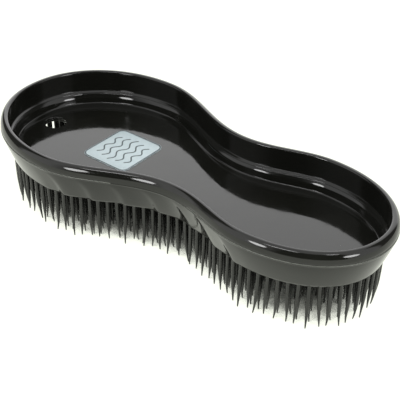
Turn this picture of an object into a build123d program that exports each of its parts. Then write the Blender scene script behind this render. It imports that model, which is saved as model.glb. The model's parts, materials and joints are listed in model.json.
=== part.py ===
from build123d import *
import os
import numpy as np

# Waisted grooming brush, millimetres. The long axis is X with the small lobe at +X, +Z is up.
# The origin is on the surface that the bristle tips stand on, under the middle of the length.

# --- plan outline at the seam: two lobes joined by a waist ---
length = 171.6
big_lobe_reach = 46.1        # from the -X end to the widest station of the big lobe
big_lobe_half_width = 39.1
small_lobe_reach = 39.7      # from the +X end to the widest station of the small lobe
small_lobe_half_width = 30.8
waist_x = 11.0
waist_half_width = 23.6
lobe_squareness = 2.07       # superellipse exponent, 2 is an ellipse

# --- heights ---
plate_bottom_z = 18.2        # bristle length
plate_top_z = 19.2
floor_top_z = 20.1
ledge_z = 24.4               # inner, lower edge of the sloping ledge
upper_wall_z = 25.1          # outer, upper edge of the ledge
shoulder_z = 23.6            # underside of the ledge, outside the recess
seam_z = 30.0                # joint between the rim and the skirt
rim_top_z = 34.3

# --- insets from the outline ---
rim_crown = 2.3              # where the rim's outer curve reaches its top
rim_width = 3.4
rim_inner_round = 0.6
upper_wall_inner = 3.1
upper_wall_outer = 2.4
ledge_inner = 4.0
shoulder_inset = 3.3
foot_inner = 5.4             # foot of the recess wall, at the floor
foot_outer = 5.0
foot_bevel = 0.5             # eases the corner between the recess floor and its wall
skirt_lower_inset = 3.9
skirt_bulge = 2.0            # above 1 keeps the skirt full near the seam

# --- finger ridges on the skirt, measured along the outline from the waist ---
ridge_pitch = 12.6
ridge_depth = 0.8
ridge_phase = 5.4            # a ridge's step lies this far to the +X side of the waist
ridge_step = 0.22            # share of the pitch that the step takes
ridge_sweep = 6.0            # how far a step leans towards -X from the lower edge to the seam
ridge_falloff = 1.6          # how fast the grooves fade out towards the seam
grip_start = -58.0
grip_end = 36.0
grip_fade = 9.0

# --- hanging hole and label ---
hole_x = -71.4
hole_radius = 4.4
label_x = -34.7
label_y = 1.5
label_length = 22.8          # along X
label_width = 24.5           # along Y
label_corner = 3.2
label_thickness = 0.15

# --- bristles ---
bristle_pitch = 3.6          # along a ring
ring_spacing = 3.2
ring_count = 11
outer_ring_inset = 4.8       # outside the finger grooves
rings_to_straighten = 3      # the rings forget the finger grooves over this many rows
bristle_root_radius = 0.72
bristle_tip_radius = 0.4
crowding = 2.8               # a root nearer than this to another is left out
hole_margin = 0.9
fold_slack = 0.15            # a ring may come this much nearer to the outline than its inset

# --- fineness of the curves ---
lobe_points = 400            # points that follow a quarter of a lobe
waist_points = 300           # points that follow the outline from a lobe to the waist
outline_count = 240          # points in the curve of one section
outline_stride = 10          # stations along the outline for each of those points
tangent_reach = 4            # stations on either side that a tangent is taken over
clearance_stride = 4         # stations skipped where the outline is only measured to
rim_levels = 5
skirt_levels = 5


def lobe_quarter(centre_x, reach, half_width):
    """Quarter of a superellipse, from the end of the lobe at centre_x + reach to its widest station."""
    power = 2 / lobe_squareness
    turn = np.linspace(0, np.pi / 2, lobe_points)
    return np.c_[centre_x + reach * np.cos(turn) ** power, half_width * np.sin(turn) ** power]


def flank(start, end):
    """Side of the body between a lobe's widest station and the waist, level at both ends."""
    share = np.linspace(0, 1, waist_points)[1:-1, None]
    ease = 0.5 - 0.5 * np.cos(np.pi * share)
    start, end = np.array(start), np.array(end)
    return start + (end - start) * np.hstack([share, ease])


def dense_outline():
    """Closed outline as evenly spaced points, outward normals and arc length from the waist."""
    big_x = big_lobe_reach - length / 2
    small_x = length / 2 - small_lobe_reach
    waist = (waist_x, waist_half_width)
    big_end = lobe_quarter(big_x, -big_lobe_reach, big_lobe_half_width)
    small_end = lobe_quarter(small_x, small_lobe_reach, small_lobe_half_width)[::-1]
    to_waist = flank((big_x, big_lobe_half_width), waist)
    from_waist = flank(waist, (small_x, small_lobe_half_width))
    far_side = np.vstack([big_end, to_waist, from_waist, small_end])
    near_side = (far_side * [1, -1])[::-1][1:]
    loop = np.vstack([far_side, near_side])
    travel = np.r_[0, np.cumsum(np.hypot(*np.diff(loop, axis=0).T))]
    stations = np.linspace(0, travel[-1], outline_count * outline_stride + 1)[:-1]
    points = np.c_[np.interp(stations, travel, loop[:, 0]), np.interp(stations, travel, loop[:, 1])]
    tangents = np.roll(points, -tangent_reach, 0) - np.roll(points, tangent_reach, 0)
    tangents /= np.hypot(*tangents.T)[:, None]
    normals = np.c_[-tangents[:, 1], tangents[:, 0]]
    waist_station = np.interp(waist_x, far_side[:, 0], travel[:len(far_side)])
    side = np.where(stations < travel[-1] / 2, stations, travel[-1] - stations)
    return points, normals, side - waist_station


POINTS, NORMALS, FROM_WAIST = dense_outline()


def ridge_inset(distance, rise):
    """Depth of the finger grooves at a distance from the waist; rise is 0 at the lower edge, 1 at the seam."""
    shifted = distance - ridge_phase + ridge_sweep * rise ** 2
    cycle = (shifted / ridge_pitch) % 1.0
    slope = 1 - ridge_step
    sinking = 0.5 - 0.5 * np.cos(np.pi * cycle / slope)
    stepping_out = 0.5 + 0.5 * np.cos(np.pi * (cycle - slope) / ridge_step)
    start = np.clip((distance - grip_start) / grip_fade, 0, 1)
    end = np.clip((grip_end - distance) / grip_fade, 0, 1)
    depth = ridge_depth * start * end * (1 - rise) ** ridge_falloff
    return depth * np.where(cycle < slope, sinking, stepping_out)


def section(inset, z):
    """Closed face at height z, set in from the outline by one distance or by one for each station."""
    ring = POINTS - NORMALS * np.broadcast_to(inset, FROM_WAIST.shape)[:, None]
    points = [(x, y, z) for x, y in ring[::outline_stride]]
    shares = np.linspace(0, 1, len(points) + 1).tolist()
    return make_face(Edge.make_spline(points, periodic=True, parameters=shares))


def stack(*levels):
    """Solid through (inset, z) levels, straight between them."""
    return loft([section(inset, z) for inset, z in levels], ruled=True)


def hole_cutter():
    return Pos(hole_x, 0, plate_top_z) * Cylinder(hole_radius, 2 * (ledge_z - plate_top_z))


def tray_envelope():
    """Outside of the tray below the seam, which the skirt wraps."""
    cup = stack((foot_outer, plate_top_z), (shoulder_inset, shoulder_z))
    neck = stack((upper_wall_outer, shoulder_z), (upper_wall_outer, seam_z))
    return cup + neck


def rim_block():
    """Rim without the recess, with a quarter ellipse as its outer face."""
    levels = []
    for turn in np.linspace(0, np.pi / 2, rim_levels):
        inset = rim_crown * (1 - np.cos(turn))
        levels.append((inset, seam_z + (rim_top_z - seam_z) * np.sin(turn)))
    return stack(*levels)


def make_tray():
    bowl = stack(
        (foot_inner + foot_bevel, floor_top_z),
        (foot_inner, floor_top_z + foot_bevel),
        (ledge_inner, ledge_z),
    )
    mouth = stack(
        (ledge_inner, ledge_z),
        (upper_wall_inner, upper_wall_z),
        (rim_width, rim_top_z - rim_inner_round),
        (rim_width - rim_inner_round, rim_top_z),
    )
    return tray_envelope() + rim_block() - bowl - mouth - hole_cutter()


def skirt_block():
    """Skirt and plate edge in one, from the seam down to the lower edge."""
    faces = []
    for level in np.linspace(0, 1, skirt_levels):
        inset = skirt_lower_inset * (1 - level) ** skirt_bulge
        z = plate_bottom_z + (seam_z - plate_bottom_z) * level
        faces.append(section(inset + ridge_inset(FROM_WAIST, level), z))
    return loft(faces)


def layer(low_z, high_z):
    """Block that covers the whole plan between two heights."""
    centred = (Align.CENTER, Align.CENTER, Align.MIN)
    return Pos(0, 0, low_z) * Box(2 * length, length, high_z - low_z, align=centred)


def make_skirt(block):
    return (block & layer(plate_top_z, rim_top_z)) - tray_envelope()


def make_plate(block):
    return (block & layer(0, plate_top_z)) - hole_cutter()


def make_label():
    outline = RectangleRounded(label_length, label_width, label_corner)
    return Pos(label_x, label_y, floor_top_z) * extrude(outline, label_thickness)


def clearance(places, spots):
    """Distance from each place to the nearest of the spots."""
    return np.hypot(*(places[:, None, :] - spots[None, :, :]).T).min(axis=0)


def ring_places(number, taken):
    """Evenly spaced bristle roots on one ring, counted from 0 at the outside."""
    straight = min(1, number / rings_to_straighten)
    inset = outer_ring_inset + ring_spacing * number
    ring = POINTS - NORMALS * (inset + (1 - straight) * ridge_inset(FROM_WAIST, 0))[:, None]
    inside = clearance(ring, POINTS[::clearance_stride]) > inset - fold_slack
    steps = np.hypot(*(np.roll(ring, -1, 0) - ring).T) * inside
    travel = np.r_[0, np.cumsum(steps)]
    spacing = travel[-1] / max(1, round(travel[-1] / bristle_pitch))
    roots = []
    for distance in np.arange(spacing / 2, travel[-1], spacing):
        index = min(np.searchsorted(travel, distance), len(ring) - 1)
        root = ring[index]
        near = [np.hypot(*(root - other)) for other in taken + roots]
        free = not near or min(near) > crowding
        if inside[index] and free and np.hypot(root[0] - hole_x, root[1]) > hole_radius + hole_margin:
            roots.append(root)
    return roots


def make_bristle(root):
    upright = (Align.CENTER, Align.CENTER, Align.MIN)
    shaft = Cone(bristle_tip_radius, bristle_root_radius, plate_bottom_z, align=upright)
    return Pos(root[0], root[1], 0) * shaft


def make_rings():
    rings = []
    taken = []
    for number in range(ring_count):
        roots = ring_places(number, taken)
        rings.append([make_bristle(root) for root in roots])
        taken += roots
    return rings


def main():
    os.makedirs("parts", exist_ok=True)
    block = skirt_block()
    nodes = {
        "tray_insert": make_tray(),
        "grip_skirt": make_skirt(block),
        "bristle_plate": make_plate(block),
        "label": make_label(),
    }
    for number, bristles in enumerate(make_rings(), 1):
        nodes[f"bristle_ring_{number:02d}"] = Compound(children=bristles)
    for name, shape in nodes.items():
        export_step(shape, f"parts/{name}.step")
        print(name, len(shape.solids()), [round(v, 2) for v in shape.bounding_box().size])


main()
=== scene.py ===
import json
import math
import random
from functools import partial

import bmesh
import bpy
import numpy as np
from mathutils import Matrix, Vector
from mathutils.geometry import delaunay_2d_cdt


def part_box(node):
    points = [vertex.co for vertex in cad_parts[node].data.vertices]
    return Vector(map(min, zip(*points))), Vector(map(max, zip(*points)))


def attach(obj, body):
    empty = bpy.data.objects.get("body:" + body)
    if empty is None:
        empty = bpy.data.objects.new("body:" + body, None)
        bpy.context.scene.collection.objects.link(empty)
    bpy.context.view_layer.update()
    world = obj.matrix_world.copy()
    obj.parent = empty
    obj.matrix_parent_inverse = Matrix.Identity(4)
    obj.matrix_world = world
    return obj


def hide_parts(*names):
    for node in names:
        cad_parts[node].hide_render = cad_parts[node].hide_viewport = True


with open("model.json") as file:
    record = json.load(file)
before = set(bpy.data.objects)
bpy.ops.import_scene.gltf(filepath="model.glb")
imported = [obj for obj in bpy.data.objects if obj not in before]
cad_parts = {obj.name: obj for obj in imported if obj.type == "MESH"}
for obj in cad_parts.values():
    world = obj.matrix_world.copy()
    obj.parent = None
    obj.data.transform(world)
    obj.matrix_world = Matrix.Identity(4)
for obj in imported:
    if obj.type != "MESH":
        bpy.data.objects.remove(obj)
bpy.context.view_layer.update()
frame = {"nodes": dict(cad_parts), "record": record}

MM = 0.001

# --- heights and plan sizes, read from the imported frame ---
TRAY_LOW, TRAY_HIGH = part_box("tray_insert")
SKIRT_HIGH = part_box("grip_skirt")[1]
PLATE_LOW, PLATE_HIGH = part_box("bristle_plate")
LABEL_LOW, LABEL_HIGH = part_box("label")
HOLE = frame["record"]["mounts"][0]
HOLE_X = HOLE["pos_m"][0]
HOLE_RADIUS = HOLE["dims"]["r_mm"] * MM

RIM_TOP = TRAY_HIGH.z
SEAM = SKIRT_HIGH.z
LOWER_EDGE = PLATE_LOW.z
PLATE_TOP = PLATE_HIGH.z
FLOOR = LABEL_LOW.z
LEDGE = FLOOR + 4.3 * MM

# --- plan outline, metres ---
LENGTH = TRAY_HIGH.x - TRAY_LOW.x
EDGE = 0.04 * MM             # the visible faces keep this far inside the outline
BIG_REACH = 46.1 * MM
BIG_HALF = 39.1 * MM
SMALL_REACH = 39.7 * MM
SMALL_HALF = 30.8 * MM
WAIST_X = 11.0 * MM
WAIST_HALF = 23.6 * MM
SQUARENESS = 2.07            # superellipse exponent of the lobes, 2 is an ellipse

# --- fineness of the meshes ---
LOBE_POINTS = 600            # points that follow a quarter of a lobe
FLANK_POINTS = 400           # points that follow the outline from a lobe to the waist
OVERSAMPLING = 4             # finer stations that the normals are taken from
TANGENT_STATIONS = 420       # a normal is averaged over the outline's length divided by this
TRAY_STATIONS = 520
SKIRT_STATIONS = 1300        # the finger ridges need more stations than the tray
HOLE_STATIONS = 72
BRISTLE_SIDES = 10
SHARP_ANGLE = math.radians(50)

# --- camera ---
CAMERA_AZIMUTH = math.radians(37.83)
CAMERA_ELEVATION = math.radians(34.56)
CAMERA_ROLL = math.radians(0.86)
CAMERA_DISTANCE = 0.3296
CAMERA_TARGET = Vector((0.0225, -0.0214, RIM_TOP - 0.0013))
SENSOR = 36.0
LENS = 85.5

# --- skirt, its finger ridges and the seam above it ---
LOWER_INSET = 3.9 * MM       # of the skirt's lower edge
SKIRT_BULGE = 1.15           # 1 is a straight side
RIDGE_PITCH = 12.6 * MM
RIDGE_DEPTH = 0.6 * MM
RIDGE_PHASE = 5.6 * MM       # distance of a ridge's step from the waist
RIDGE_STEP = 0.26            # share of the pitch that the step takes
RIDGE_SWEEP = 5.0 * MM       # how far a step leans towards the large lobe at the seam
RIDGE_FALLOFF = 1.1          # how fast the grooves fade out towards the seam
GRIP_START = -59.0 * MM
GRIP_END = 38.0 * MM
GRIP_FADE = 8.0 * MM
FLUSH_START = -24.2 * MM     # between these the ridges run up to the rim and the seam closes
FLUSH_END = 8.4 * MM
SEAM_FADE = 1.2 * MM
SEAM_STEP = 0.2 * MM         # the rim stands back from the skirt by this much where the seam shows
SEAM_STEP_HEIGHT = 1.2 * MM
SEAM_LINE = 0.05 * MM        # inset of the closed seam


# ---------------------------------------------------------------- outline

def outline(count):
    """Evenly spaced points of the plan outline, outward normals, and distance along it from the waist."""
    big_x = BIG_REACH - LENGTH / 2
    small_x = LENGTH / 2 - SMALL_REACH
    power = 2 / SQUARENESS
    turn = np.linspace(0, np.pi / 2, LOBE_POINTS)
    big_end = np.c_[big_x - BIG_REACH * np.cos(turn) ** power, BIG_HALF * np.sin(turn) ** power]
    small_end = np.c_[small_x + SMALL_REACH * np.cos(turn) ** power, SMALL_HALF * np.sin(turn) ** power]
    share = np.linspace(0, 1, FLANK_POINTS)[1:-1]
    ramp = 0.5 - 0.5 * np.cos(np.pi * share)
    to_waist = np.c_[big_x + (WAIST_X - big_x) * share, BIG_HALF + (WAIST_HALF - BIG_HALF) * ramp]
    from_waist = np.c_[WAIST_X + (small_x - WAIST_X) * share, WAIST_HALF + (SMALL_HALF - WAIST_HALF) * ramp]
    far_side = np.vstack([big_end, to_waist, from_waist, small_end[::-1]])
    loop = np.vstack([far_side, (far_side * [1, -1])[::-1][1:]])
    travel = np.r_[0, np.cumsum(np.hypot(*np.diff(loop, axis=0).T))]
    fine = count * OVERSAMPLING
    stations = np.linspace(0, travel[-1], fine + 1)[:-1]
    points = np.c_[np.interp(stations, travel, loop[:, 0]), np.interp(stations, travel, loop[:, 1])]
    reach = max(2, round(fine / TANGENT_STATIONS))
    tangents = np.roll(points, -reach, 0) - np.roll(points, reach, 0)
    tangents /= np.hypot(*tangents.T)[:, None]
    normals = np.c_[-tangents[:, 1], tangents[:, 0]]
    waist_station = np.interp(WAIST_X, far_side[:, 0], travel[:len(far_side)])
    side = np.where(stations < travel[-1] / 2, stations, travel[-1] - stations)
    kept = slice(None, None, OVERSAMPLING)
    return points[kept], normals[kept], (side - waist_station)[kept]


def ease(value, low, high):
    """Smooth rise from 0 at low to 1 at high."""
    t = np.clip((value - low) / (high - low), 0, 1)
    return t * t * (3 - 2 * t)


def ridge_inset(distance, rise):
    """Depth of the finger grooves; rise is 0 at the lower edge and 1 at the seam."""
    cycle = ((distance - RIDGE_PHASE + RIDGE_SWEEP * rise ** 3) / RIDGE_PITCH) % 1.0
    slope = 1 - RIDGE_STEP
    sink = np.where(cycle < slope, 0.5 - 0.5 * np.cos(np.pi * cycle / slope),
                    0.5 + 0.5 * np.cos(np.pi * (cycle - slope) / RIDGE_STEP))
    start = ease(distance, GRIP_START, GRIP_START + GRIP_FADE)
    end = 1 - ease(distance, GRIP_END - GRIP_FADE, GRIP_END)
    return RIDGE_DEPTH * sink * start * end * (1 - rise) ** RIDGE_FALLOFF


def seam_open(distance):
    """1 where the seam shows as a step, 0 where the grip runs flush up to the rim."""
    closing = ease(distance, FLUSH_START - SEAM_FADE, FLUSH_START)
    opening = ease(distance, FLUSH_END, FLUSH_END + SEAM_FADE)
    return 1 - closing * (1 - opening)


def skirt_inset(z):
    """Inset of the skirt's outer face at height z, without the ridges."""
    drop = np.clip((SEAM - z) / (SEAM - LOWER_EDGE), 0, 1)
    return LOWER_INSET * drop ** SKIRT_BULGE


# ---------------------------------------------------------------- mesh helpers

def new_object(name, vertices, faces, smooth=True):
    """Object made from vertices and faces, in the scene."""
    mesh = bpy.data.meshes.new(name)
    mesh.from_pydata([tuple(v) for v in vertices], [], [tuple(f) for f in faces])
    mesh.validate()
    mesh.update()
    if smooth:
        mesh.shade_smooth()
    obj = bpy.data.objects.new(name, mesh)
    bpy.context.scene.collection.objects.link(obj)
    return obj


def arc(centre_inset, centre_z, radius, start, end, steps):
    """Points of an arc in the section plane: angle 0 points outwards, 90 degrees up."""
    angles = np.radians(np.linspace(start, end, steps))
    return [(centre_inset - radius * math.cos(a), centre_z + radius * math.sin(a)) for a in angles]


def ring_rows(profile, points, normals, distance):
    """Rows of vertices for a section swept round the outline.

    An inset is a number, or a function of the distance from the waist.
    """
    rows = []
    for inset, z in profile:
        inset_here = inset(distance) if callable(inset) else np.full(len(points), inset)
        plan = points - normals * inset_here[:, None]
        rows.append(np.c_[plan, np.full(len(points), z)])
    return rows


def skin(rows, closed_section):
    """Faces between rows of equal length that each run once round."""
    count = len(rows[0])
    faces = []
    last = len(rows) if closed_section else len(rows) - 1
    for r in range(last):
        a = r * count
        b = ((r + 1) % len(rows)) * count
        for i in range(count):
            j = (i + 1) % count
            faces.append((a + i, b + i, b + j, a + j))
    return faces


def fill_between(mesh_vertices, outer, inner):
    """Triangles for the flat area between an outer loop and an inner loop of vertex indices."""
    order = outer + inner
    flat = [Vector((mesh_vertices[i][0], mesh_vertices[i][1])) for i in order]
    edges = []
    start = 0
    for loop in (outer, inner):
        edges += [(start + k, start + (k + 1) % len(loop)) for k in range(len(loop))]
        start += len(loop)
    found = delaunay_2d_cdt(flat, edges, [], 0, 1e-9)
    corners, triangles, sources = found[0], found[2], found[3]
    keep = []
    for triangle in triangles:
        centre = sum((corners[k] for k in triangle), Vector((0, 0))) / len(triangle)
        if inside(centre, flat[:len(outer)]) and not inside(centre, flat[len(outer):]):
            keep.append([order[sources[k][0]] for k in triangle])
    return keep


def inside(point, loop):
    """Whether a point lies inside a closed loop of points."""
    hit = False
    for a, b in zip(loop, loop[1:] + loop[:1]):
        if (a.y > point.y) != (b.y > point.y):
            if point.x < a.x + (b.x - a.x) * (point.y - a.y) / (b.y - a.y):
                hit = not hit
    return hit


def circle_rows(levels):
    """Rings of the hanging hole, one for each (radius, z)."""
    turn = np.linspace(0, 2 * np.pi, HOLE_STATIONS + 1)[:-1]
    across, along = np.cos(turn), np.sin(turn)
    return [np.c_[HOLE_X + r * across, r * along, np.full(HOLE_STATIONS, z)] for r, z in levels]


def swept_body(name, profile, hole_levels, count):
    """Cup or plate with the hole through it.

    Its section is swept from the upper centre side round to the lower one.
    """
    points, normals, distance = outline(count)
    rows = ring_rows(profile, points, normals, distance)
    holes = circle_rows(hole_levels)
    vertices = np.vstack(rows + holes)
    faces = skin(rows, False)
    start = len(rows) * count
    faces += [tuple(start + k for k in f) for f in skin(holes, False)]
    top_outer = list(range(count))
    low_outer = list(range((len(rows) - 1) * count, len(rows) * count))
    top_hole = list(range(start, start + HOLE_STATIONS))
    low_hole = list(range(len(vertices) - HOLE_STATIONS, len(vertices)))
    faces += fill_between(vertices, top_outer, top_hole)
    faces += fill_between(vertices, low_outer, low_hole)
    obj = new_object(name, vertices, faces)
    tidy_normals(obj)
    return obj


def tidy_normals(obj):
    """Point the faces outwards and shade them smooth, apart from real corners."""
    bm = bmesh.new()
    bm.from_mesh(obj.data)
    bmesh.ops.recalc_face_normals(bm, faces=bm.faces)
    bm.to_mesh(obj.data)
    bm.free()
    obj.data.shade_smooth()
    obj.data.set_sharp_from_angle(angle=SHARP_ANGLE)


# ---------------------------------------------------------------- tray

def stepped(inset, step, distance):
    """Inset that is drawn in by a step where the seam shows."""
    return inset + step * seam_open(distance)


def seam_point(step_mm, rise_mm):
    """Point of a section near the seam, as its inset and height."""
    return partial(stepped, SEAM_LINE, step_mm * MM), SEAM + rise_mm * MM


def rim_outside():
    """Outer face of the rim, a quarter ellipse from its crown down to the seam."""
    crown = 2.3 * MM
    rise = RIM_TOP - SEAM
    section = []
    for turn in np.radians(np.linspace(90, 4, 26)):
        inset = EDGE + crown * (1 - math.cos(turn))
        height = rise * math.sin(turn)
        step = SEAM_STEP * max(0, 1 - height / SEAM_STEP_HEIGHT) ** 1.5
        section.append((partial(stepped, inset, step), SEAM + height))
    return section


def tray_profile():
    """Section of the tray from its floor, up the wall, over the rim, down outside and under the floor."""
    foot = 0.7 * MM              # radius between the floor and the wall
    wall_lean = 18               # degrees
    crown = 0.85 * MM            # radius of the rim on the inside
    section = [(7.4 * MM, FLOOR), (6.4 * MM, FLOOR)]
    section += arc(5.4 * MM + foot * 0.75, FLOOR + foot, foot, 270, 360 - wall_lean, 7)
    section += [(4.9 * MM, FLOOR + 2.0 * MM), (4.22 * MM, LEDGE - 0.4 * MM)]
    section += arc(4.35 * MM, LEDGE - 0.2 * MM, 0.3 * MM, 360 - wall_lean, 360 - wall_lean, 1)
    section += arc(3.62 * MM, LEDGE - 0.32 * MM, 0.45 * MM, 180 - 10, 180 - 55, 6)
    section += [(3.45 * MM, LEDGE + 0.28 * MM)]
    section += arc(3.38 * MM, LEDGE + 0.75 * MM, 0.32 * MM, 300, 355, 5)
    section += [(3.08 * MM, LEDGE + 1.6 * MM), (3.16 * MM, LEDGE + 4.0 * MM), (3.28 * MM, LEDGE + 6.5 * MM)]
    section += [(3.36 * MM, RIM_TOP - 1.5 * MM)]
    for turn in np.radians(np.linspace(0, 88, 12)):
        section.append((3.4 * MM - crown * (1 - math.cos(turn)), RIM_TOP - crown * (1 - math.sin(turn))))
    section += rim_outside()
    section += [seam_point(0.22, 0.1), seam_point(0.3, 0.04)]
    section += [(1.2 * MM, SEAM + 0.03 * MM), (2.3 * MM, SEAM)]
    section += [(2.6 * MM, SEAM - 0.3 * MM), (2.7 * MM, LEDGE - 0.6 * MM), (3.6 * MM, LEDGE - 1.2 * MM)]
    section += [(5.2 * MM, PLATE_TOP + 0.3 * MM), (5.5 * MM, PLATE_TOP), (8.0 * MM, PLATE_TOP)]
    return section


def hole_levels(high, low, flare):
    """Rings down the hole with rounded mouths."""
    levels = [(HOLE_RADIUS + 4 * flare, high), (HOLE_RADIUS + flare, high)]
    levels += [(HOLE_RADIUS + flare * 0.3, high - flare * 0.3), (HOLE_RADIUS, high - flare)]
    levels += [(HOLE_RADIUS, low + 0.1 * MM), (HOLE_RADIUS + 0.1 * MM, low), (HOLE_RADIUS + 0.5 * MM, low)]
    return levels


def make_tray():
    return swept_body("tray", tray_profile(), hole_levels(FLOOR, PLATE_TOP, 0.25 * MM), TRAY_STATIONS)


# ---------------------------------------------------------------- skirt and plate

def ridged(extra, rise):
    """Inset of the skirt with its ridges, as a function of the distance from the waist."""
    return lambda d: skirt_inset(LOWER_EDGE + rise * (SEAM - LOWER_EDGE)) + extra + ridge_inset(d, rise)


def make_skirt():
    """Outer band with a small chamfer on its upper edge where the seam shows."""
    height = SEAM - LOWER_EDGE
    rises = np.linspace((PLATE_TOP - LOWER_EDGE) / height, 0.955, 26)
    section = [seam_point(0.5, -0.02), seam_point(0.24, 0.02), seam_point(0.15, -0.02)]
    section += [(EDGE, SEAM - 0.19 * MM), (EDGE, SEAM - 0.4 * MM)]
    section += [(ridged(EDGE, rise), LOWER_EDGE + rise * height) for rise in rises[::-1]]
    section += [(5.4 * MM, PLATE_TOP + 0.02 * MM), (5.2 * MM, PLATE_TOP + 1.5 * MM)]
    section += [(2.5 * MM, FLOOR + 3.5 * MM), (2.3 * MM, SEAM - 0.5 * MM), (2.0 * MM, SEAM - 0.05 * MM)]
    points, normals, distance = outline(SKIRT_STATIONS)
    rows = ring_rows(section, points, normals, distance)
    obj = new_object("skirt", np.vstack(rows), skin(rows, True))
    tidy_normals(obj)
    return obj


def make_plate():
    """Base plate with a small rounded lip along its lower edge."""
    rise = (PLATE_TOP - LOWER_EDGE) / (SEAM - LOWER_EDGE)
    lip = 0.22 * MM
    section = [(7.6 * MM, PLATE_TOP), (5.4 * MM, PLATE_TOP)]
    section += [(ridged(EDGE, rise * 0.98), PLATE_TOP - 0.01 * MM)]
    section += [(ridged(EDGE, rise * 0.55), LOWER_EDGE + 0.55 * MM)]
    section += [(ridged(EDGE - 0.03 * MM, 0), LOWER_EDGE + 1.2 * lip)]
    section += [(ridged(EDGE + 0.02 * MM, 0), LOWER_EDGE + 0.6 * lip)]
    section += [(ridged(EDGE + 0.1 * MM, 0), LOWER_EDGE + 0.2 * lip)]
    section += [(ridged(EDGE + 0.3 * MM, 0), LOWER_EDGE), (ridged(0.7 * MM, 0), LOWER_EDGE)]
    section += [(ridged(1.4 * MM, 0), LOWER_EDGE)]
    return swept_body("base_plate", section, hole_levels(PLATE_TOP, LOWER_EDGE, 0.15 * MM), SKIRT_STATIONS)


# ---------------------------------------------------------------- bristles

def bristle_roots(node):
    """Plan centres of the separate bristles in a CAD node."""
    mesh = frame["nodes"][node].data
    places = np.array([v.co for v in mesh.vertices])
    tip_level = places[places[:, 2] < 0.05 * MM][:, :2]
    cell = 1.1 * MM              # wider than a tip and narrower than the space between two
    found = []
    for x, y in tip_level:
        for group in found:
            if abs(group[0] / group[2] - x) < cell and abs(group[1] / group[2] - y) < cell:
                group[0] += x
                group[1] += y
                group[2] += 1
                break
        else:
            found.append([x, y, 1])
    return sorted((g[0] / g[2], g[1] / g[2]) for g in found)


# share of the length from the root, radius in millimetres
BRISTLE_SHAPE = [(-0.01, 0.9), (0.015, 0.83), (0.05, 0.79), (0.3, 0.77), (0.52, 0.74), (0.64, 0.66),
                 (0.74, 0.53), (0.83, 0.4), (0.91, 0.31), (0.97, 0.25), (1.0, 0.17)]
CURL_START = 0.7             # share of the length where the tip begins to curl
SHORT_BRISTLES = 0.15        # share of the bristles that are clearly short
SHORT_BY = (0.04, 0.12)      # by this share of the length
FIRST_SEED = 100


def bristle_rows(x, y, dice):
    """Rings of one tapered bristle, a little bent and cut to its own length."""
    shortfall = abs(dice.gauss(0, 0.022))
    if dice.random() < SHORT_BRISTLES:
        shortfall += dice.uniform(*SHORT_BY)
    length = LOWER_EDGE * (1 - shortfall)
    angle = dice.uniform(0, 2 * math.pi)
    bend = abs(dice.gauss(0, 0.8)) * MM
    tip_angle = dice.uniform(0, 2 * math.pi)
    tip_bend = dice.uniform(0, 0.5) * MM
    thickness = dice.uniform(0.92, 1.06)
    turn = np.linspace(0, 2 * np.pi, BRISTLE_SIDES + 1)[:-1]
    rows = []
    for share, radius in BRISTLE_SHAPE:
        lean = bend * max(share, 0) ** 2
        curl = tip_bend * (max(0, share - CURL_START) / (1 - CURL_START)) ** 2
        cx = x + math.cos(angle) * lean + math.cos(tip_angle) * curl
        cy = y + math.sin(angle) * lean + math.sin(tip_angle) * curl
        r = radius * thickness * MM
        height = np.full(BRISTLE_SIDES, LOWER_EDGE - share * length)
        rows.append(np.c_[cx + r * np.cos(turn), cy + r * np.sin(turn), height])
    return rows


def make_bristles(node, number):
    """All the bristles of one CAD ring, in one mesh."""
    dice = random.Random(FIRST_SEED + number)
    vertices = []
    faces = []
    for x, y in bristle_roots(node):
        rows = bristle_rows(x, y, dice)
        start = len(vertices)
        for row in rows:
            vertices += list(row)
        faces += [tuple(start + k for k in f) for f in skin(rows, False)]
        faces.append(tuple(range(start, start + BRISTLE_SIDES))[::-1])
        faces.append(tuple(range(len(vertices) - BRISTLE_SIDES, len(vertices))))
    obj = new_object(node.replace("bristle_ring", "bristles"), vertices, faces)
    tidy_normals(obj)
    return obj


# ---------------------------------------------------------------- label

LABEL_CORNER = 3.2 * MM
INK_THICKNESS = 0.02 * MM
BORDER_INSET = 0.4 * MM
BORDER_WIDTH = 0.6 * MM
WAVE_COUNT = 5
WAVE_PITCH = 3.6 * MM
WAVE_WIDTH = 0.6 * MM
WAVE_SWING = 1.0 * MM
WAVE_TURNS = 2.2             # half turns from the middle of a line to its end
WAVE_POINTS = 49


def rounded_rectangle(half_x, half_y, corner, steps):
    """Closed loop about the origin, with steps faces to a corner."""
    loop = []
    for quarter in range(4):
        cx = (half_x - corner) * (1 if quarter in (0, 3) else -1)
        cy = (half_y - corner) * (1 if quarter in (0, 1) else -1)
        for k in range(steps + 1):
            a = math.radians(90 * quarter + 90 * k / steps)
            loop.append((cx + corner * math.cos(a), cy + corner * math.sin(a)))
    return loop


def slab(name, loop, low, high, centre, bevel):
    """Flat piece with a softened upper edge."""
    cx, cy = centre
    levels = [(0, low), (0, high - bevel), (bevel * 0.3, high - bevel * 0.3), (bevel, high)]
    rows = []
    for shrink, z in levels:
        scale = [1 - shrink / max(abs(x), abs(y), 1e-6) for x, y in loop]
        rows.append(np.array([(cx + x * s, cy + y * s, z) for (x, y), s in zip(loop, scale)]))
    count = len(loop)
    faces = skin(rows, False)
    faces.append(tuple(range(count))[::-1])
    faces.append(tuple(range(3 * count, 4 * count)))
    obj = new_object(name, np.vstack(rows), faces)
    tidy_normals(obj)
    return obj


def make_label():
    half = (LABEL_HIGH - LABEL_LOW) / 2
    centre = (LABEL_HIGH + LABEL_LOW) / 2
    loop = rounded_rectangle(half.x, half.y, LABEL_CORNER, 12)
    return slab("label_film", loop, FLOOR, LABEL_HIGH.z - INK_THICKNESS, (centre.x, centre.y), 0.03 * MM)


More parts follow.
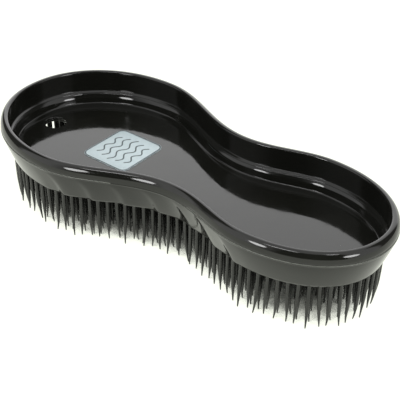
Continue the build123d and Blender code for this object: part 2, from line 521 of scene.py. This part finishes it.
def ribbon(path, width, low, high, closed):
    """Flat line along a path."""
    count = len(path)
    path = np.array(path)
    ahead = np.roll(path, -1, 0) - path
    behind = path - np.roll(path, 1, 0)
    if not closed:
        ahead[-1] = behind[-1]
        behind[0] = ahead[0]
    tangent = ahead / np.hypot(*ahead.T)[:, None] + behind / np.hypot(*behind.T)[:, None]
    tangent /= np.hypot(*tangent.T)[:, None]
    side = np.c_[-tangent[:, 1], tangent[:, 0]] * width / 2
    corners = [np.c_[path + side, np.full(count, low)], np.c_[path - side, np.full(count, low)],
               np.c_[path - side, np.full(count, high)], np.c_[path + side, np.full(count, high)]]
    vertices = np.vstack(corners)
    faces = []
    last = count if closed else count - 1
    for c in range(4):
        d = (c + 1) % 4
        for i in range(last):
            j = (i + 1) % count
            faces.append((c * count + i, c * count + j, d * count + j, d * count + i))
    if not closed:
        faces.append(tuple(c * count for c in range(4)))
        faces.append(tuple(c * count + count - 1 for c in range(4))[::-1])
    return vertices, faces


def make_print():
    """Dark line just inside the label's edge, and a motif of combed wavy lines printed on the label."""
    centre = (LABEL_HIGH + LABEL_LOW) / 2
    half = (LABEL_HIGH - LABEL_LOW) / 2
    inner = LABEL_CORNER - BORDER_INSET
    border = rounded_rectangle(half.x - BORDER_INSET, half.y - BORDER_INSET, inner, 10)
    # dark line just inside the label's edge, in the ink's colour
    lines = [([(centre.x + x, centre.y + y) for x, y in border], BORDER_WIDTH, True)]
    for number in range(WAVE_COUNT):
        from_middle = number - (WAVE_COUNT - 1) / 2
        x = centre.x + from_middle * WAVE_PITCH
        reach = half.y - (3.4 + 0.9 * abs(from_middle)) * MM
        path = []
        for t in np.linspace(-1, 1, WAVE_POINTS):
            path.append((x + WAVE_SWING * math.sin(WAVE_TURNS * math.pi * t), centre.y + reach * t))
        lines.append((path, WAVE_WIDTH, False))
    vertices = []
    faces = []
    for path, width, closed in lines:
        line_vertices, line_faces = ribbon(path, width, LABEL_HIGH.z - INK_THICKNESS, LABEL_HIGH.z, closed)
        faces += [tuple(k + len(vertices) for k in face) for face in line_faces]
        vertices += list(line_vertices)
    return new_object("label_print", vertices, faces, smooth=False)


# ---------------------------------------------------------------- materials

def grey(value):
    return (value, value, value)


class Nodes:
    """Small helper to lay out the nodes of a material or of the world."""

    def __init__(self, tree):
        self.tree = tree

    def add(self, kind, **settings):
        node = self.tree.nodes.new(kind)
        for key, value in settings.items():
            if key in node.inputs:
                node.inputs[key].default_value = value
            else:
                setattr(node, key, value)
        return node

    def link(self, source, target):
        self.tree.links.new(source, target)

    def math(self, operation, *values):
        """One arithmetic step on numbers or sockets."""
        node = self.add("ShaderNodeMath", operation=operation)
        for socket, value in zip(node.inputs, values):
            if isinstance(value, (int, float)):
                socket.default_value = value
            else:
                self.link(value, socket)
        return node.outputs["Value"]

    def where(self):
        return self.add("ShaderNodeTexCoord").outputs["Object"]

    def split(self, source):
        parts = self.add("ShaderNodeSeparateXYZ")
        self.link(source, parts.inputs["Vector"])
        return parts.outputs

    def noise(self, scale, detail):
        noise = self.add("ShaderNodeTexNoise", Scale=scale, Detail=detail)
        self.link(self.where(), noise.inputs["Vector"])
        return noise.outputs["Fac"]

    def specks(self, scale, radius):
        """1 inside small round specks, one to a cell, and 0 elsewhere."""
        cells = self.add("ShaderNodeTexVoronoi", Scale=scale)
        self.link(self.where(), cells.inputs["Vector"])
        return self.math("LESS_THAN", cells.outputs["Distance"], radius * scale)

    def ramp(self, source, stops):
        """Colour that runs through (position, colour) stops."""
        ramp = self.add("ShaderNodeValToRGB")
        elements = ramp.color_ramp.elements
        elements[0].position, elements[0].color = stops[0][0], (*stops[0][1], 1)
        elements[1].position, elements[1].color = stops[-1][0], (*stops[-1][1], 1)
        for position, colour in stops[1:-1]:
            elements.new(position).color = (*colour, 1)
        self.link(source, ramp.inputs["Fac"])
        return ramp.outputs["Color"]

    def mix(self, factor, first, second):
        """First colour at factor 0 and second at 1. Sockets 6, 7 and 2 are the node's colour ones."""
        mix = self.add("ShaderNodeMix", data_type="RGBA")
        self.link(factor, mix.inputs["Factor"])
        for socket, value in ((mix.inputs[6], first), (mix.inputs[7], second)):
            if isinstance(value, tuple):
                socket.default_value = (*value, 1)
            else:
                self.link(value, socket)
        return mix.outputs[2]

    def spread(self, source, low, high):
        """Noise, which lies mostly between 0.3 and 0.7, widened to run from low to high."""
        spread = self.add("ShaderNodeMapRange")
        for name, value in (("From Min", 0.3), ("From Max", 0.7), ("To Min", low), ("To Max", high)):
            spread.inputs[name].default_value = value
        self.link(source, spread.inputs["Value"])
        return spread.outputs["Result"]

    def bump(self, source, distance, before=None):
        bump = self.add("ShaderNodeBump", Distance=distance)
        self.link(source, bump.inputs["Height"])
        if before:
            self.link(before, bump.inputs["Normal"])
        return bump.outputs["Normal"]


class Surface(Nodes):
    """A material with one Principled shader."""

    def __init__(self, name):
        self.material = bpy.data.materials.new(name)
        self.material.use_nodes = True
        super().__init__(self.material.node_tree)
        self.shader = self.tree.nodes["Principled BSDF"]

    def feed(self, name, source):
        self.link(source, self.shader.inputs[name])

    def fix(self, name, value):
        self.shader.inputs[name].default_value = value


DUST_SCALE = 95              # cells to a metre, with a grain in each
DUST_RADIUS = 0.12 * MM
DUST_COLOUR = (0.16, 0.16, 0.15)
# Painted highlight: a paler, rougher band under the seam stands in for the light its edge reflects.
HIGHLIGHT_LINE_DEPTH = 0.2 * MM       # height of the painted highlight line under the seam
PAINTED_HIGHLIGHT_COLOUR = (0.12, 0.125, 0.11)
HIGHLIGHT_LINE_ROUGHNESS = 0.35
SKIRT_IOR = 1.4              # duller than the polished rim


def shell_material(name):
    """Polished black plastic: faintly wavy skin, uneven polish and a few grains of dust."""
    m = Surface(name)
    body = m.ramp(m.noise(60, 3), [(0.35, (0.0062, 0.0064, 0.0052)), (0.65, (0.0088, 0.009, 0.0074))])
    m.feed("Base Color", m.mix(m.specks(DUST_SCALE, DUST_RADIUS), body, DUST_COLOUR))
    m.feed("Roughness", m.spread(m.noise(220, 4), 0.045, 0.1))
    waves = m.bump(m.noise(170, 1), 0.00003)
    m.feed("Normal", m.bump(m.noise(2600, 2), 0.0000008, waves))
    m.fix("IOR", 1.47)
    return m.material


def skirt_material():
    """The shell's plastic with a painted highlight: a dull, paler line under the seam where it meets the
    rim.
    """
    material = shell_material("black_skirt_plastic")
    m = Nodes(material.node_tree)
    shader = m.tree.nodes["Principled BSDF"]
    points, _, distance = outline(SKIRT_STATIONS)
    flush = points[(distance > FLUSH_START) & (distance < FLUSH_END), 0]
    x, _, z = m.split(m.where())
    # painted highlight mask: the band under the seam, outside the part where the seam closes
    high = m.math("GREATER_THAN", z, SEAM - HIGHLIGHT_LINE_DEPTH)
    before = m.math("LESS_THAN", x, flush.min())
    after = m.math("GREATER_THAN", x, flush.max())
    painted_highlight = m.math("MULTIPLY", high, m.math("ADD", before, after))
    shader.inputs["IOR"].default_value = SKIRT_IOR
    for name, value in (("Base Color", PAINTED_HIGHLIGHT_COLOUR), ("Roughness", grey(HIGHLIGHT_LINE_ROUGHNESS))):
        socket = shader.inputs[name]
        plain = socket.links[0].from_socket
        m.link(m.mix(painted_highlight, plain, value), socket)
    return material


def bristle_material():
    """Satin moulded plastic, a little uneven from bristle to bristle."""
    m = Surface("black_bristle_plastic")
    shades = [(0.3, (0.006, 0.0063, 0.0055)), (0.7, (0.014, 0.0145, 0.013))]
    m.feed("Base Color", m.ramp(m.noise(260, 2), shades))
    m.feed("Roughness", m.spread(m.noise(500, 3), 0.2, 0.36))
    m.feed("Normal", m.bump(m.noise(1500, 2), 0.00001))
    m.fix("IOR", 1.49)
    return m.material


def film_material():
    """Pale blue-grey label film, a little mottled."""
    m = Surface("pale_label_film")
    shades = [(0.3, (0.42, 0.505, 0.525)), (0.7, (0.465, 0.55, 0.57))]
    m.feed("Base Color", m.ramp(m.noise(700, 3), shades))
    m.feed("Roughness", m.spread(m.noise(400, 2), 0.35, 0.5))
    m.feed("Normal", m.bump(m.noise(1200, 2), 0.000004))
    return m.material


def ink_material():
    """Dark teal print."""
    m = Surface("grey_label_ink")
    shades = [(0.3, (0.026, 0.044, 0.05)), (0.7, (0.042, 0.064, 0.072))]
    m.feed("Base Color", m.ramp(m.noise(900, 2), shades))
    m.feed("Roughness", m.spread(m.noise(600, 2), 0.38, 0.5))
    return m.material


# Painted shadow: the table's glow is dimmed by ambient occlusion, so it turns dark under the brush.
TABLE_GLOW = 1.02
SHADE_REACH = 0.03           # metres round a point of the table that count for its shade
SHADE_DARK = 0.1             # open share of that space below which the painted shadow takes all the glow away
SHADE_CLEAR = 0.26           # and above which the table glows fully


def floor_material():
    """A lit white table whose glow fades out under the brush: a shadow painted into its emission by ambient
    occlusion.
    """
    m = Surface("studio_floor")
    # dark base colour, so the table is dark where the painted shadow takes its glow away
    m.fix("Base Color", (0.12, 0.125, 0.11, 1))
    m.fix("Emission Color", (1.0, 1.03, 0.92, 1))
    shade = m.add("ShaderNodeAmbientOcclusion", Distance=SHADE_REACH)
    glow = m.add("ShaderNodeMapRange")
    limits = {"From Min": SHADE_DARK, "From Max": SHADE_CLEAR, "To Min": 0.0, "To Max": TABLE_GLOW}
    for name, value in limits.items():
        glow.inputs[name].default_value = value
    m.link(shade.outputs["AO"], glow.inputs["Value"])
    m.feed("Emission Strength", glow.outputs["Result"])
    m.fix("Roughness", 0.9)
    m.fix("Specular IOR Level", 0.0)
    return m.material


# ---------------------------------------------------------------- studio

# Light of the tent's walls, as (degrees to the right of the camera, strength)
WALLS = [(-180, 2.4), (-152, 2.25), (-146, 0.1), (-100, 0.1), (-94, 1.3), (-62, 1.3), (-50, 0.8),
         (-36, 0.1), (-34, 0.03), (31, 0.03), (34, 0.8), (46, 1.2), (78, 1.2), (86, 0.1), (122, 0.1),
         (130, 1.6), (150, 2.0), (180, 2.4)]
WALL_PEAK = 2.6              # the world's strength, which the walls are shares of
CEILING = 1.15
CEILING_START = 0.79         # sine of the elevation where the walls end
CEILING_FULL = 0.84
FLOOR_REACH = 2              # metres from the middle to each side


def make_tent():
    """A light tent as the world: bright back wall and ceiling, an open dark front."""
    world = bpy.data.worlds.new("light_tent")
    bpy.context.scene.world = world
    world.use_nodes = True
    w = Nodes(world.node_tree)
    direction = w.add("ShaderNodeSeparateXYZ")
    w.link(w.add("ShaderNodeTexCoord").outputs["Generated"], direction.inputs["Vector"])
    x, y, z = direction.outputs
    sin_az, cos_az = math.sin(CAMERA_AZIMUTH), math.cos(CAMERA_AZIMUTH)
    front = w.math("SUBTRACT", w.math("MULTIPLY", x, sin_az), w.math("MULTIPLY", y, cos_az))
    right = w.math("ADD", w.math("MULTIPLY", x, cos_az), w.math("MULTIPLY", y, sin_az))
    turn = w.math("MULTIPLY_ADD", w.math("ARCTAN2", right, front), 1 / (2 * math.pi), 0.5)
    walls = w.ramp(turn, [((angle + 180) / 360, grey(strength / WALL_PEAK)) for angle, strength in WALLS])
    height = w.ramp(z, [(CEILING_START, grey(0)), (CEILING_FULL, grey(1))])
    colour = w.mix(height, walls, grey(CEILING / WALL_PEAK))
    background = world.node_tree.nodes["Background"]
    w.link(colour, background.inputs["Color"])
    background.inputs["Strength"].default_value = WALL_PEAK


def area_light(name, place, target, width, height, radiance, mirrored=True):
    """Oval softbox of a given radiance that faces the target."""
    data = bpy.data.lights.new(name, "AREA")
    data.shape = "ELLIPSE"
    data.size = width
    data.size_y = height
    data.energy = radiance * math.pi * width * height * math.pi / 4
    light = bpy.data.objects.new(name, data)
    light.location = place
    light.rotation_euler = (Vector(target) - Vector(place)).to_track_quat("-Z", "Y").to_euler()
    light.visible_camera = False
    light.visible_glossy = mirrored
    bpy.context.scene.collection.objects.link(light)


def make_studio():
    """Lit table, light tent and the lamps that draw the highlights along the rim."""
    corners = [(-FLOOR_REACH, -FLOOR_REACH, 0), (FLOOR_REACH, -FLOOR_REACH, 0)]
    corners += [(FLOOR_REACH, FLOOR_REACH, 0), (-FLOOR_REACH, FLOOR_REACH, 0)]
    floor = new_object("studio_floor", corners, [(0, 1, 2, 3)], smooth=False)
    floor.data.materials.append(floor_material())
    make_tent()
    middle = (0, 0, RIM_TOP)
    area_light("front_left_window", (-0.033, -0.339, 0.14), middle, 0.085, 0.11, 13)
    area_light("front_right_window", (0.595, -0.147, 0.2), middle, 0.2, 0.16, 13)
    area_light("front_edge_strip", (0.036, -0.38, 0.52), middle, 0.26, 0.06, 13)
    area_light("side_edge_strip", (0.36, -0.18, 0.52), middle, 0.12, 0.06, 12)
    area_light("top_fill", (0, 0, 1.6), middle, 1.0, 1.0, 0.9, mirrored=False)


# ---------------------------------------------------------------- camera

def make_camera():
    """Camera at the photo's angle."""
    az, el = CAMERA_AZIMUTH, CAMERA_ELEVATION
    back = Vector((math.sin(az) * math.cos(el), -math.cos(az) * math.cos(el), math.sin(el)))
    right = Vector((math.cos(az), math.sin(az), 0))
    up = back.cross(right)
    rolled_right = right * math.cos(CAMERA_ROLL) + up * math.sin(CAMERA_ROLL)
    rolled_up = up * math.cos(CAMERA_ROLL) - right * math.sin(CAMERA_ROLL)
    data = bpy.data.cameras.new("camera")
    data.sensor_width = SENSOR
    data.lens = LENS
    camera = bpy.data.objects.new("camera", data)
    turn = Matrix((rolled_right, rolled_up, back)).transposed().to_4x4()
    camera.matrix_world = Matrix.Translation(CAMERA_TARGET + back * CAMERA_DISTANCE) @ turn
    bpy.context.scene.collection.objects.link(camera)
    bpy.context.scene.camera = camera


# ---------------------------------------------------------------- assembly

def place(obj, material, slot, *nodes):
    """Give a piece its material and its body, and hide the CAD nodes it replaces. The slot argument is not
    used.
    """
    obj.data.materials.append(material)
    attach(obj, "root")
    if nodes:
        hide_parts(*nodes)


def main():
    bpy.context.scene.view_settings.view_transform = "Standard"
    shell = shell_material("black_polished_plastic")
    bristle = bristle_material()
    place(make_tray(), shell, "shell_plastic", "tray_insert")
    place(make_skirt(), skirt_material(), "shell_plastic", "grip_skirt")
    place(make_plate(), shell, "shell_plastic", "bristle_plate")
    rings = sorted(name for name in frame["nodes"] if name.startswith("bristle_ring"))
    for number, node in enumerate(rings):
        place(make_bristles(node, number), bristle, "bristle_plastic", node)
    place(make_label(), film_material(), "label_film", "label")
    place(make_print(), ink_material(), "label_film")
    make_studio()
    make_camera()


main()
